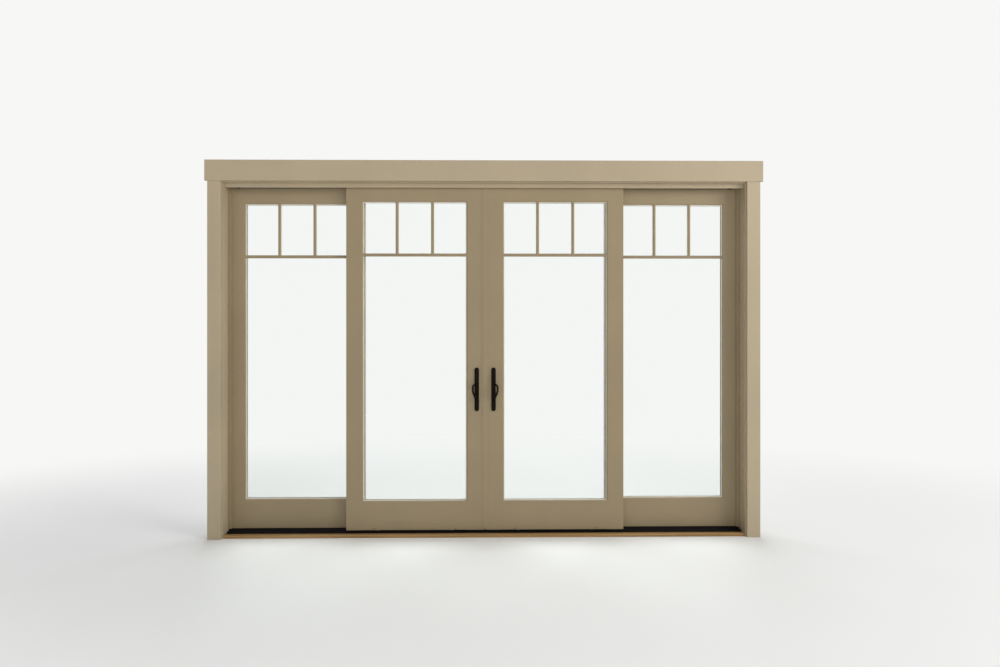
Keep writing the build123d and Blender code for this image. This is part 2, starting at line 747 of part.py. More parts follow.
def astragal():
    """Strip on the right panel that covers the gap and laps over the left panel."""
    y_front = y_active - ASTRAGAL_THICK
    y_back = y_active - ASTRAGAL_CLEARANCE
    z_low = z_active + ASTRAGAL_RAISE
    with BuildPart() as strip:
        with BuildSketch(Plane.XY.offset(z_low)):
            with BuildLine():
                Polyline(
                    (ASTRAGAL_COVE - ASTRAGAL_OVERLAP, y_front),
                    (ASTRAGAL_COVER - ASTRAGAL_EASE, y_front),
                    (ASTRAGAL_COVER, y_front + ASTRAGAL_EASE),
                    (ASTRAGAL_COVER, y_active),
                    (x_active, y_active),
                    (x_active, y_back),
                    (-ASTRAGAL_OVERLAP, y_back),
                    (-ASTRAGAL_OVERLAP, y_back - ASTRAGAL_TIP),
                )
                RadiusArc(
                    (-ASTRAGAL_OVERLAP, y_back - ASTRAGAL_TIP),
                    (ASTRAGAL_COVE - ASTRAGAL_OVERLAP, y_front),
                    ASTRAGAL_COVE_RADIUS,
                )
            make_face()
        extrude(amount=z_active_top - z_low)
    save(strip, "right_astragal")


# Handles

def handle(side, y_face, outward):
    """Long plate with a bowed grip that leans towards the glass."""
    lean = radians(GRIP_ANGLE)
    y_plate = y_face + outward * PLATE_THICK

    def on_grip(reach, height):
        return (x_handle + reach * cos(lean), y_plate + outward * reach * sin(lean), HANDLE_HEIGHT + height)

    with BuildPart() as pull:
        centre = (x_handle, y_face, HANDLE_HEIGHT)
        with BuildSketch(Plane(origin=centre, x_dir=(1, 0, 0), z_dir=(0, outward, 0))):
            SlotOverall(PLATE_LENGTH, PLATE_WIDTH, rotation=90)
        extrude(amount=PLATE_THICK)
        outer_face = pull.faces().filter_by(Axis.Y).sort_by(Axis.Y)[0 if outward < 0 else -1]
        chamfer(outer_face.edges(), PLATE_BEVEL)
        with BuildLine() as route:
            FilletPolyline(
                on_grip(-GRIP_ROOT, GRIP_TOP),
                on_grip(GRIP_REACH, GRIP_TOP),
                on_grip(GRIP_REACH, GRIP_KNEE),
                on_grip(-GRIP_ROOT, GRIP_BOTTOM),
                radius=[GRIP_TOP_RADIUS, GRIP_LOW_RADIUS],
            )
        with BuildSketch(Plane(origin=route.line @ 0, x_dir=(0, 0, 1), z_dir=route.line % 0)):
            Circle(GRIP_RADIUS)
        sweep()
        split(bisect_by=Plane(origin=(0, y_face, 0), z_dir=(0, outward, 0)), keep=Keep.TOP)
        for z in z_screws:
            if outward < 0:
                rod((x_handle, y_plate, z), SCREW_HOLE_RADIUS, PLATE_THICK, mode=Mode.SUBTRACT)
                recess = SCREW_HEAD_RADIUS + SCREW_HEAD_CLEARANCE
                rod((x_handle, y_plate, z), recess, SCREW_HEAD_DEPTH, mode=Mode.SUBTRACT)
            else:
                blind = PLATE_THICK - SCREW_END_WALL
                rod((x_handle, y_face, z), SCREW_HOLE_RADIUS, blind, mode=Mode.SUBTRACT)
        if side == "right" and outward < 0:
            shaft_hole = TURN_SHAFT_RADIUS + RUNNING_CLEARANCE
            rod((x_handle, y_plate, z_turn), shaft_hole, PLATE_THICK, mode=Mode.SUBTRACT)
        if side == "right" and outward > 0:
            y_end = y_plate + CYLINDER_PROUD
            rod((x_handle, case_ys[1], z_turn), CYLINDER_RADIUS, y_end - case_ys[1])
            near_end = (y_end - CYLINDER_BEVEL, y_end + CYLINDER_BEVEL)
            rim = pull.edges().filter_by(GeomType.CIRCLE).filter_by_position(Axis.Y, *near_end)
            chamfer(rim, CYLINDER_BEVEL)
            plug_hole = PLUG_RADIUS + RUNNING_CLEARANCE
            rod((x_handle, case_ys[1], z_turn), plug_hole, y_end - case_ys[1], mode=Mode.SUBTRACT)
        to_side(side)
    return pull


def handles():
    """Room and outdoor handles of both sliding panels, and the screws that join them."""
    for side in SIDES:
        save(handle(side, y_active, -1), f"{side}_interior_handle")
        save(handle(side, y_active_back, 1), f"{side}_exterior_handle")
    y_head = y_active - PLATE_THICK
    y_end = y_active_back + PLATE_THICK - SCREW_END_WALL - SCREW_END_GAP
    with BuildPart() as screws:
        for z in z_screws:
            rod((x_handle, y_head, z), SCREW_RADIUS, y_end - y_head)
            rod((x_handle, y_head, z), SCREW_HEAD_RADIUS, SCREW_HEAD_DEPTH)
    save_mirrored(screws, "handle_screws")


# Hook lock, thumb turn, key cylinder and strike

x_pivot = x_active + HOOK_SETBACK
x_case_back = x_active + CASE_DEPTH
case_zs = (z_hook - CASE_BELOW, z_hook + CASE_ABOVE)
faceplate_zs = (case_zs[0] - FACEPLATE_EXTRA, case_zs[1] + FACEPLATE_EXTRA)
case_ys = (y_active_mid - CASE_THICK / 2, y_active_mid + CASE_THICK / 2)
cavity_ys = (y_active_mid - CAVITY_WIDTH / 2, y_active_mid + CAVITY_WIDTH / 2)
faceplate_ys = (y_active_mid - FACEPLATE_WIDTH / 2, y_active_mid + FACEPLATE_WIDTH / 2)
strike_zs = (z_hook - STRIKE_BELOW, z_hook + STRIKE_ABOVE)


def widened(pair, margin):
    """A pair of low and high values, moved apart by a margin at each end."""
    return (pair[0] - margin, pair[1] + margin)


def lock_case():
    """Case in the stile's edge, open along its face for the hook, with the hook's pivot inside."""
    with BuildPart() as case:
        block((x_active, x_active + FACEPLATE_THICK), faceplate_ys, faceplate_zs)
        block((x_active, x_case_back), case_ys, case_zs)
        block(
            (x_active + FACEPLATE_THICK, x_case_back - CASE_WALL),
            cavity_ys,
            widened(case_zs, -CASE_WALL),
            Mode.SUBTRACT,
        )
        block(
            (x_active, x_active + FACEPLATE_THICK),
            cavity_ys,
            (z_hook - SLOT_BELOW, z_hook + FACE_SLOT_ABOVE),
            Mode.SUBTRACT,
        )
        rod((x_pivot, cavity_ys[0], z_hook), PIVOT_RADIUS, CAVITY_WIDTH)
        rod(
            (x_handle, case_ys[0], z_turn),
            TURN_SHAFT_RADIUS + RUNNING_CLEARANCE,
            CASE_THICK,
            mode=Mode.SUBTRACT,
        )
    save(case, "right_lock_case")


def lock_hook():
    """Hook that swings out of the case into the strike; drawn up inside its case."""
    pivot = (x_pivot, y_active_mid - HOOK_THICK / 2, z_hook)
    plane = Plane(origin=pivot, x_dir=(-1, 0, 0), z_dir=(0, 1, 0))
    with BuildPart() as hook:
        with BuildSketch(plane):
            Circle(HOOK_HUB_RADIUS)
            with Locations((0, HOOK_REACH / 2)):
                Rectangle(2 * HOOK_ARM_HALF, HOOK_REACH)
            with BuildLine():
                Polyline(
                    (0, HOOK_REACH),
                    (HOOK_DROP - HOOK_ARM_HALF, HOOK_REACH),
                    (HOOK_DROP, HOOK_REACH - HOOK_ARM_HALF),
                    (HOOK_DROP, HOOK_REACH - HOOK_NOSE),
                    (0, HOOK_REACH - HOOK_NOSE),
                    close=True,
                )
            make_face()
            Circle(PIVOT_RADIUS + RUNNING_CLEARANCE, mode=Mode.SUBTRACT)
        extrude(amount=HOOK_THICK)
    save(hook, "lock_hook")


def thumb_turn():
    """Oval wing on a round shaft that works the hook from the room."""
    y_front = y_active - PLATE_THICK - TURN_PLATE_GAP
    y_end = cavity_ys[0] - PLUG_END_GAP
    front = Plane(origin=(x_handle, y_front, z_turn), x_dir=(1, 0, 0), z_dir=(0, -1, 0))
    with BuildPart() as turn:
        with BuildSketch(front):
            Circle(TURN_COLLAR_RADIUS)
        extrude(amount=TURN_COLLAR_THICK)
        with BuildSketch(front):
            SlotOverall(TURN_WING_LENGTH, TURN_WING_WIDTH, rotation=90)
        extrude(amount=TURN_COLLAR_THICK + TURN_WING_THICK)
        chamfer(turn.faces().sort_by(Axis.Y)[0].edges(), PLATE_BEVEL)
        rod((x_handle, y_front, z_turn), TURN_SHAFT_RADIUS, y_end - y_front)
    save(turn, "thumb_turn")


def key_plug():
    """Keyed plug that turns in the sleeve of the outdoor plate, with a tail in the case."""
    y_shoulder = case_ys[1] + PLUG_END_GAP
    y_front = y_active_back + PLATE_THICK + CYLINDER_PROUD
    y_tail = cavity_ys[1] + PLUG_END_GAP
    with BuildPart() as plug:
        rod((x_handle, y_shoulder, z_turn), PLUG_RADIUS, y_front - y_shoulder)
        rod((x_handle, y_tail, z_turn), TURN_SHAFT_RADIUS, y_shoulder - y_tail)
        block(
            (x_handle - KEY_SLOT_WIDTH / 2, x_handle + KEY_SLOT_WIDTH / 2),
            (y_front - KEY_SLOT_DEPTH, y_front),
            (z_turn - KEY_SLOT_HEIGHT / 2, z_turn + KEY_SLOT_HEIGHT / 2),
            Mode.SUBTRACT,
        )
    save(plug, "key_plug")


def strike_plate():
    """Slotted plate let into the edge of the left panel, for the hook to catch behind."""
    with BuildPart() as strike:
        block((-x_active - STRIKE_THICK, -x_active), faceplate_ys, strike_zs)
        block(
            (-x_active - STRIKE_THICK, -x_active),
            (y_active_mid - STRIKE_SLOT_WIDTH / 2, y_active_mid + STRIKE_SLOT_WIDTH / 2),
            (z_hook - SLOT_BELOW, z_hook + STRIKE_SLOT_ABOVE),
            Mode.SUBTRACT,
        )
    save(strike, "left_strike_plate")


def cut_for_lock():
    """Mortise, recess and bores for the lock in the right meeting stile."""
    block(
        (x_active, x_case_back + CASE_CLEARANCE),
        widened(case_ys, CASE_CLEARANCE),
        case_zs,
        Mode.SUBTRACT,
    )
    block(
        (x_active, x_active + FACEPLATE_THICK),
        widened(faceplate_ys, CASE_CLEARANCE),
        faceplate_zs,
        Mode.SUBTRACT,
    )
    rod((x_handle, y_active, z_turn), SHAFT_HOLE_RADIUS, case_ys[0] - y_active, mode=Mode.SUBTRACT)
    rod(
        (x_handle, case_ys[1], z_turn),
        CYLINDER_RADIUS + CYLINDER_CLEARANCE,
        y_active_back - case_ys[1],
        mode=Mode.SUBTRACT,
    )


def cut_for_strike():
    """Recess and pocket behind the strike in the left meeting stile."""
    half = STRIKE_SLOT_WIDTH / 2 + POCKET_SIDE
    block(
        (-x_active - STRIKE_THICK, -x_active),
        widened(faceplate_ys, CASE_CLEARANCE),
        strike_zs,
        Mode.SUBTRACT,
    )
    block(
        (-x_active - POCKET_DEPTH, -x_active),
        (y_active_mid - half, y_active_mid + half),
        (z_hook - HOOK_DROP - POCKET_MARGIN, z_hook + STRIKE_SLOT_ABOVE + POCKET_MARGIN),
        Mode.SUBTRACT,
    )


# The sliding panels, with everything that is cut into them

def cut_guide_groove():
    """Groove along the top of the panel for the head guide."""
    block(
        (x_active, x_active_outer),
        (y_active_mid - GUIDE_GROOVE_WIDTH / 2, y_active_mid + GUIDE_GROOVE_WIDTH / 2),
        (z_active_top - GUIDE_GROOVE_DEPTH, z_active_top),
        Mode.SUBTRACT,
    )


def cut_roller_pockets():
    """Pockets for the roller housings and the holes that reach their height screws."""
    half = housing_half + HOUSING_CLEARANCE
    for x_screw, x_wheel in zip(adjusters, rollers):
        x_middle = (x_screw + x_wheel) / 2
        reach = HOUSING_LENGTH / 2 + HOUSING_CLEARANCE
        block(
            (x_middle - reach, x_middle + reach),
            (y_active_mid - half, y_active_mid + half),
            (z_active, z_active + HOUSING_HEIGHT),
            Mode.SUBTRACT,
        )
        rod((x_screw, y_active, z_adjuster), ADJUSTER_HOLE_RADIUS, PANEL_THICK / 2, mode=Mode.SUBTRACT)


def sliding_panels():
    """The inner panels: the right one carries the lock, and the left one its strike."""
    meeting_width = STILE_WIDTH + MEETING_EXTRA
    pieces = panel(x_active, meeting_width, STILE_WIDTH, y_active, z_active, z_active_top, active_width)
    with BuildPart() as outer_stile:
        add(pieces["right"].part)
        cut_guide_groove()
    with BuildPart() as top_rail:
        add(pieces["top_rail"].part)
        cut_guide_groove()
    with BuildPart() as bottom_rail:
        add(pieces["bottom_rail"].part)
        cut_roller_pockets()
    save_mirrored(outer_stile, "outer_stile")
    save_mirrored(top_rail, "top_rail")
    save_mirrored(bottom_rail, "bottom_rail")
    save_mirrored(pieces["glass_unit"], "glass_unit")
    save_mirrored(pieces["grille"], "grille")
    for side in SIDES:
        with BuildPart() as meeting_stile:
            add(pieces["left"].part)
            cut_guide_groove()
            for z in z_screws:
                rod((x_handle, y_active, z), SCREW_HOLE_RADIUS, PANEL_THICK, mode=Mode.SUBTRACT)
            to_side(side)
            if side == "right":
                cut_for_lock()
            else:
                cut_for_strike()
        save(meeting_stile, f"{side}_meeting_stile")


os.makedirs("parts", exist_ok=True)
both_jambs = [side_jamb(side) for side in SIDES]
head_jamb(both_jambs)
sill(both_jambs)
roller_track()
threshold()
stops()
casings()
head_guide()
fixed_panels()
sliding_panels()
roller_housings()
wheels()
interlocks()
astragal()
handles()
lock_case()
lock_hook()
thumb_turn()
key_plug()
strike_plate()
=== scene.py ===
# %% [markdown]
# # A gliding French patio door
# The construction of the door is already finished: it comes in as a fixed frame of solids, one for
# each board, pane and fitting. This lesson gives those solids their finishes, adds the small
# pieces that a joiner would fit last, and photographs the door in a plain studio. Everything is in
# metres. X runs across the door, Y from indoors to outdoors, and Z up.

# %% Load the frame
import math

import bmesh
import bpy
import mathutils
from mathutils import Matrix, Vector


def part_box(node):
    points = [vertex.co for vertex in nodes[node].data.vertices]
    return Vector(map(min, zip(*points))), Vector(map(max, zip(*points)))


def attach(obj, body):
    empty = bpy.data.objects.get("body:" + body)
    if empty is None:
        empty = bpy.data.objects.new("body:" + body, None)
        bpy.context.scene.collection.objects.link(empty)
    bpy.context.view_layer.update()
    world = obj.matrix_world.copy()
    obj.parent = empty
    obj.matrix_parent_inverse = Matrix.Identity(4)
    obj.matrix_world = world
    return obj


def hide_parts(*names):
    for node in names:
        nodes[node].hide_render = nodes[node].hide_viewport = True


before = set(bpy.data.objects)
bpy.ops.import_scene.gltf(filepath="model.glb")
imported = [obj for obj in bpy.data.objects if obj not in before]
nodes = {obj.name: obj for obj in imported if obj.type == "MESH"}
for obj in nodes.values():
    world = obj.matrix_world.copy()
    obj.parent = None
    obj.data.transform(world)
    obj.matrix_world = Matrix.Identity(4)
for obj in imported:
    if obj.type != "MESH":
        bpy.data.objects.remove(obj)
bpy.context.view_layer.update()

# %% [markdown]
# ## The camera
# The photograph was taken indoors with a wide lens, from eye height and looking straight at the
# door. Because the camera is level, every upright stays upright in the picture. A lens shift
# frames the door instead of a tilt, just as it is done when buildings are photographed.

# %% Camera
LENS = 24.0
LENS_SHIFT = (0.0107, -0.0375)
EYE = (-0.0308, -4.5665, 1.623)
LEVEL_GAZE = math.radians(90)
SLIGHT_TURN = -0.0130

camera_data = bpy.data.cameras.new("camera")
camera_data.lens = LENS
camera_data.shift_x, camera_data.shift_y = LENS_SHIFT
camera = bpy.data.objects.new("camera", camera_data)
camera.location = EYE
camera.rotation_euler = (LEVEL_GAZE, 0, SLIGHT_TURN)
bpy.context.scene.collection.objects.link(camera)
bpy.context.scene.camera = camera
bpy.context.scene.view_settings.view_transform = "Standard"
print("the camera stands", round(-camera.location.y, 2), "m in front of the door")

# %% [markdown]
# ## Writing shader maths as sums
# A procedural finish is a small network of nodes, and most of them do plain arithmetic. Wiring
# each one by hand hides the idea, so a small class wraps an output socket and lets it be added and
# multiplied like a number.

# %% Sums of sockets
class Value:
    """An output socket. One that gives a number can stand in sums such as 1 - mask."""

    def __init__(self, network, socket):
        self.network = network
        self.socket = socket

    def maths(self, operation, first, second):
        return self.network.node("ShaderNodeMath", {"operation": operation}, {0: first, 1: second})

    def __add__(self, other):
        return self.maths("ADD", self, other)

    def __radd__(self, other):
        return self.maths("ADD", other, self)

    def __sub__(self, other):
        return self.maths("SUBTRACT", self, other)

    def __rsub__(self, other):
        return self.maths("SUBTRACT", other, self)

    def __mul__(self, other):
        return self.maths("MULTIPLY", self, other)

    def __rmul__(self, other):
        return self.maths("MULTIPLY", other, self)

    def __pow__(self, other):
        return self.maths("POWER", self, other)

    def __abs__(self):
        return self.maths("ABSOLUTE", self, 0.0)

# %% [markdown]
# ## One way to add a node
# Any other node comes from one method, which sets the node up, fills its inputs with numbers or
# links, and hands back one of its outputs. Materials and the sky are both networks of nodes, so
# they share it.

# %% Networks of nodes
class Network:
    """The nodes of a material or of the sky."""

    def __init__(self, tree):
        self.tree = tree

    def node(self, kind, settings=None, sockets=None, output=0):
        """Add a node with its settings and inputs, and give back one of its outputs."""
        made = self.tree.nodes.new(kind)
        for key, setting in (settings or {}).items():
            setattr(made, key, setting)
        for key, value in (sockets or {}).items():
            if isinstance(value, Value):
                self.tree.links.new(value.socket, made.inputs[key])
            else:
                made.inputs[key].default_value = value
        return Value(self, made.outputs[output])

    def show(self, shader):
        """Make this shader the one that is seen."""
        self.tree.links.new(shader.socket, self.tree.get_output_node("ALL").inputs["Surface"])

# %% [markdown]
# ## One class for a finish
# A finish is one material. Its patterns are measured in metres on the object itself, so a streak
# is as wide on a short rail as on a long stile, and it stays where it is when the panel slides.

# %% Finishes
class Finish(Network):
    """One material, and the patterns that its surface can have."""

    def __init__(self, name):
        self.material = bpy.data.materials.new(name)
        self.material.use_nodes = True
        super().__init__(self.material.node_tree)
        self.shader = self.tree.nodes["Principled BSDF"]

    def own_shader(self):
        """The material's first shader, for mixing with another one."""
        return Value(self, self.shader.outputs["BSDF"])

    def place(self, stretch=(1, 1, 1)):
        """Object coordinates in metres, stretched along each axis."""
        coordinates = self.node("ShaderNodeTexCoord", output="Object")
        return self.node("ShaderNodeMapping", {}, {"Vector": coordinates, "Scale": stretch})

    def axis(self, name):
        """One coordinate of the surface, in metres."""
        return self.node("ShaderNodeSeparateXYZ", {}, {"Vector": self.place()}, output=name)

    def noise(self, stretch, detail=3.0, roughness=0.5):
        """Noise with so many waves to the metre along each axis."""
        return self.node(
            "ShaderNodeTexNoise",
            {"noise_dimensions": "3D"},
            {"Vector": self.place(stretch), "Scale": 1.0, "Detail": detail, "Roughness": roughness},
        )

    def step(self, value, start, end):
        """0 before start, 1 after end, and a smooth slope between them."""
        return self.node(
            "ShaderNodeMapRange",
            {"interpolation_type": "SMOOTHSTEP"},
            {"Value": value, "From Min": start, "From Max": end},
        )

    def mix(self, factor, first, second):
        """A colour between two others. The mix node has its colours on inputs 6 and 7."""
        first, second = (
            (*colour, 1) if isinstance(colour, tuple) else colour for colour in (first, second)
        )
        return self.node(
            "ShaderNodeMix",
            {"data_type": "RGBA"},
            {"Factor": factor, 6: first, 7: second},
            output=2,
        )

    def bump(self, height, depth):
        """Relief of the given depth in metres, on the shader's normal."""
        self.set("Normal", self.node(
            "ShaderNodeBump", {}, {"Height": height, "Strength": 1.0, "Distance": depth}
        ))

    def set(self, socket, value):
        """Put a number, a colour or a changing value on one of the shader's inputs."""
        if isinstance(value, Value):
            self.tree.links.new(value.socket, self.shader.inputs[socket])
        elif isinstance(value, tuple):
            self.shader.inputs[socket].default_value = (*value, 1)
        else:
            self.shader.inputs[socket].default_value = value


def paint_nodes(finish, names):
    """Give CAD nodes a finish."""
    for name in names:
        nodes[name].data.materials.clear()
        nodes[name].data.materials.append(finish.material)
    print(finish.material.name, "on", len(names), "nodes")

# %% [markdown]
# ## Satin paint
# The boards are brush-painted wood: the casings and jambs in cream, the panels and the strips
# beside them in a deeper tan. Part of that tan's depth is painted shade, the shade of panels set
# back in the frame against bright glass. A brush leaves fine streaks along each board, so the noise
# that makes them is stretched along the board's length. Paint also has slow unevenness, and it
# dulls where feet and hands reach.

# %% Paint
TRIM_CREAM = (0.428, 0.352, 0.235)
# The panel tan is darker than the panels' own paint: part of it is painted shade.
PANEL_TAN_AND_SHADE = (0.303, 0.236, 0.138)
SHADED = 0.92
GRIME = (0.21, 0.16, 0.11)
HANDLE_FROM_MIDDLE = 0.057
HANDLE_HEIGHT = 0.988
FEET_REACH = (0.22, 0.03)
HANDS_REACH_ACROSS = (0.075, 0.02)
HANDS_REACH_UP = (0.22, 0.12)
CLOUDED = (0.3, 0.7)
SCUFFED = (0.54, 0.72)
FINGERED = (0.42, 0.75)
STREAK_SHARE, SCUFF_SHARE, FINGER_SHARE = 0.35, 0.30, 0.16
BRUSH_RELIEF = 0.00005


def brushed_paint(name, colour, stretch):
    finish = Finish(name)
    streaks = finish.noise(stretch, detail=4.0, roughness=0.6)
    clouds = finish.noise((2.2, 2.2, 2.2), detail=2.0)
    height = finish.axis("Z")
    scuffs = finish.noise((60, 60, 140), detail=5.0, roughness=0.7)
    low = finish.step(height, *FEET_REACH) * finish.step(scuffs, *SCUFFED)
    across = abs(abs(finish.axis("X")) - HANDLE_FROM_MIDDLE)
    up = abs(height - HANDLE_HEIGHT)
    near_handle = finish.step(across, *HANDS_REACH_ACROSS) * finish.step(up, *HANDS_REACH_UP)
    touched = near_handle * finish.step(finish.noise((9, 9, 14), detail=4.0), *FINGERED)
    shaded = tuple(part * SHADED for part in colour)
    base = finish.mix(finish.step(clouds, *CLOUDED), colour, shaded)
    base = finish.mix(streaks * STREAK_SHARE, base, shaded)
    base = finish.mix(low * SCUFF_SHARE + touched * FINGER_SHARE, base, GRIME)
    finish.set("Base Color", base)
    finish.set("Roughness", 0.40 + streaks * 0.12 + low * 0.2 - touched * 0.08)
    finish.set("Specular IOR Level", 0.45)
    finish.bump(streaks, BRUSH_RELIEF)
    return finish

# %% [markdown]
# ## Two colours, each in two directions
# Streaks that are fine across a board and long along it need two versions of each paint: one for
# the uprights and one for the level boards. The numbers are how many streaks fit in a metre.

# %% Painted boards
UPRIGHT = (420, 420, 1.2)
LEVEL = (1.2, 420, 420)
sides = ("left", "right")


def on_both_sides(names):
    return [f"{side}_{name}" for side in sides for name in names]


trim_upright = brushed_paint("trim_paint_upright", TRIM_CREAM, UPRIGHT)
trim_level = brushed_paint("trim_paint_level", TRIM_CREAM, LEVEL)
# The panel paints carry painted shade in their darker tone.
panel_shaded_upright = brushed_paint("panel_paint_and_shade_upright", PANEL_TAN_AND_SHADE, UPRIGHT)
panel_shaded_level = brushed_paint("panel_paint_and_shade_level", PANEL_TAN_AND_SHADE, LEVEL)
stiles = ["fixed_inner_stile", "fixed_outer_stile", "meeting_stile", "outer_stile", "stop"]
rails = ["fixed_top_rail", "fixed_bottom_rail", "fixed_grille", "top_rail", "bottom_rail", "grille"]
paint_nodes(trim_upright, on_both_sides(["casing", "jamb"]))
paint_nodes(trim_level, ["head_jamb", "head_stop", "head_casing"])
paint_nodes(panel_shaded_upright, on_both_sides(stiles) + ["right_astragal"])
paint_nodes(panel_shaded_level, on_both_sides(rails))

# %% [markdown]
# ## Stained threshold
# The nosing in front of the sill is stained oak. Oak shows long straight pores, so the grain is
# noise drawn out along X, with broader bands of early and late wood under it and a varnish on top.

# %% Oak
OAK_PALE = (0.345, 0.200, 0.062)
OAK_DARK = (0.240, 0.130, 0.036)
OAK_PORE = (0.100, 0.052, 0.016)
BANDED = (0.35, 0.65)
PORED = (0.55, 0.75)
PORE_SHARE = 0.6
PORE_DEPTH = 0.00012


def stained_oak():
    finish = Finish("stained_oak")
    pores = finish.noise((7, 700, 700), detail=4.0, roughness=0.65)
    bands = finish.step(finish.noise((1.4, 60, 60), detail=3.0), *BANDED)
    base = finish.mix(bands, OAK_PALE, OAK_DARK)
    base = finish.mix(finish.step(pores, *PORED) * PORE_SHARE, base, OAK_PORE)
    finish.set("Base Color", base)
    finish.set("Roughness", 0.30 + pores * 0.18)
    finish.set("Coat Weight", 0.35)
    finish.set("Coat Roughness", 0.18)
    finish.bump(1 - pores, PORE_DEPTH)
    return finish


oak = stained_oak()
paint_nodes(oak, ["threshold"])

# %% [markdown]
# ## Dark bronze
# The handles, thumb turn, key plug and strike have an oil-rubbed bronze finish: a nearly black
# patina that rubs through to warmer metal where hands close around the grip. The grip stands
# furthest from the panel, so the distance from the panel's middle tells the shader how much it is
# worn.

# %% Bronze
PANEL_MIDDLE = -0.0075
GRIP_REACH = (0.055, 0.085)
RUBBED = (0.38, 0.68)
MOTTLED = (0.35, 0.7)
BARE_SHARE = 0.5
PATINA_BLACK = (0.007, 0.006, 0.005)
PATINA_BROWN = (0.015, 0.011, 0.008)
BARE_BRONZE = (0.060, 0.034, 0.020)
CAST_RELIEF = 0.00006


def oil_rubbed_bronze():
    finish = Finish("oil_rubbed_bronze")
    patina = finish.noise((90, 90, 60), detail=5.0, roughness=0.6)
    cast = finish.noise((1500, 1500, 1500), detail=2.0)
    reach = abs(finish.axis("Y") - PANEL_MIDDLE)
    rubbed = finish.step(reach, *GRIP_REACH) * finish.step(patina, *RUBBED)
    base = finish.mix(finish.step(patina, *MOTTLED), PATINA_BLACK, PATINA_BROWN)
    base = finish.mix(rubbed * BARE_SHARE, base, BARE_BRONZE)
    finish.set("Base Color", base)
    finish.set("Metallic", 0.95)
    finish.set("Roughness", 0.46 + patina * 0.10 - rubbed * 0.16)
    finish.bump(cast, CAST_RELIEF)
    return finish


bronze = oil_rubbed_bronze()
paint_nodes(bronze, on_both_sides(["interior_handle", "exterior_handle", "handle_screws"]))
paint_nodes(bronze, ["thumb_turn", "key_plug", "left_strike_plate"])

# %% [markdown]
# ## Metals under the panels
# The sill is an anodised extrusion, and drawing it through its die leaves faint lines along its
# length. The guide rail has the same dark coat. The lock is brushed steel, with its lines along X
# too, and the roller housings are pressed from sheet with a black zinc coat, which is cloudy and
# has no direction. The housings' grey is set darker than the coat alone, as painted shade for the
# space under the panels.

# %% Extruded and drawn metal
DRAWN_RELIEF = 0.00004


def drawn_metal(name, pale, dark, metallic, roughness, stretch):
    finish = Finish(name)
    lines = finish.noise(stretch, detail=3.0, roughness=0.7)
    stains = finish.noise((14, 14, 14), detail=4.0)
    finish.set("Base Color", finish.mix(lines * 0.6 + stains * 0.4, dark, pale))
    finish.set("Metallic", metallic)
    finish.set("Roughness", roughness + stains * 0.16)
    finish.bump(lines, DRAWN_RELIEF)
    return finish


anodised = drawn_metal(
    "dark_anodised", pale=(0.011, 0.009, 0.008), dark=(0.005, 0.004, 0.004),
    metallic=0.6, roughness=0.50, stretch=(3, 1600, 1600),
)
stainless = drawn_metal(
    "stainless", pale=(0.60, 0.59, 0.57), dark=(0.42, 0.41, 0.40),
    metallic=1.0, roughness=0.24, stretch=(4, 2200, 2200),
)
# The housings' dark grey is partly painted shade under the panels.
zinc_and_shade = drawn_metal(
    "black_zinc_and_painted_shade", pale=(0.070, 0.066, 0.060), dark=(0.036, 0.034, 0.031),
    metallic=0.9, roughness=0.42, stretch=(60, 60, 60),
)
paint_nodes(anodised, ["sill", "roller_track"])
paint_nodes(stainless, ["right_lock_case", "lock_hook"])
paint_nodes(zinc_and_shade, on_both_sides(["roller_housings"]))

# %% [markdown]
# ## Turned wheels
# A lathe tool leaves a fine spiral that looks like rings round the axle. The rings are a sine of
# the distance from the axle, and that distance is worked out from the nearer of the two axles on
# each side, so one finish serves all four wheels. The steel is dark, partly from grease off the
# track and partly as painted shade under the panels.

# %% Turned metal
WHEEL_PLACES = (0.2275, 0.7295)
RING_PITCH = 0.0007
RING_RELIEF = 0.00001
# Both wheel colours are partly grease and partly painted shade under the panels.
THIN_GREASE_AND_SHADE = (0.150, 0.143, 0.132)
THICK_GREASE_AND_SHADE = (0.070, 0.066, 0.060)


def turned_steel():
    finish = Finish("turned_steel")
    out = abs(finish.axis("X"))
    first, second = (abs(out - place) for place in WHEEL_PLACES)
    across = first.maths("MINIMUM", first, second)
    low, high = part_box("left_outer_wheel")
    up = finish.axis("Z") - (low.z + high.z) / 2
    radius = (across ** 2 + up * up) ** 0.5
    rings = radius.maths("SINE", radius * (2 * math.pi / RING_PITCH), 0.0)
    wear = finish.noise((200, 200, 200), detail=3.0)
    finish.set("Base Color", finish.mix(wear, THIN_GREASE_AND_SHADE, THICK_GREASE_AND_SHADE))
    finish.set("Metallic", 1.0)
    finish.set("Roughness", 0.26 + wear * 0.15)
    finish.bump(rings, RING_RELIEF)
    return finish


steel = turned_steel()
paint_nodes(steel, on_both_sides(["inner_wheel", "outer_wheel"]))

# %% [markdown]
# ## Vinyl and rubber
# The head guide and the four interlocks are extruded vinyl, and the two stops in the head are
# moulded rubber. Both are plain materials, so a fine grain in the roughness and a thin film of
# dust are all they need.

# %% Vinyl and rubber
DUSTED = (0.4, 0.75)
GRAIN_RELIEF = 0.00003


def moulded(name, colour, dusty, roughness, grain):
    finish = Finish(name)
    film = finish.noise((12, 12, 12), detail=5.0)
    fine = finish.noise((grain, grain, grain), detail=2.0)
    finish.set("Base Color", finish.mix(finish.step(film, *DUSTED), colour, dusty))
    finish.set("Roughness", roughness + fine * 0.12)
    finish.bump(fine, GRAIN_RELIEF)
    return finish


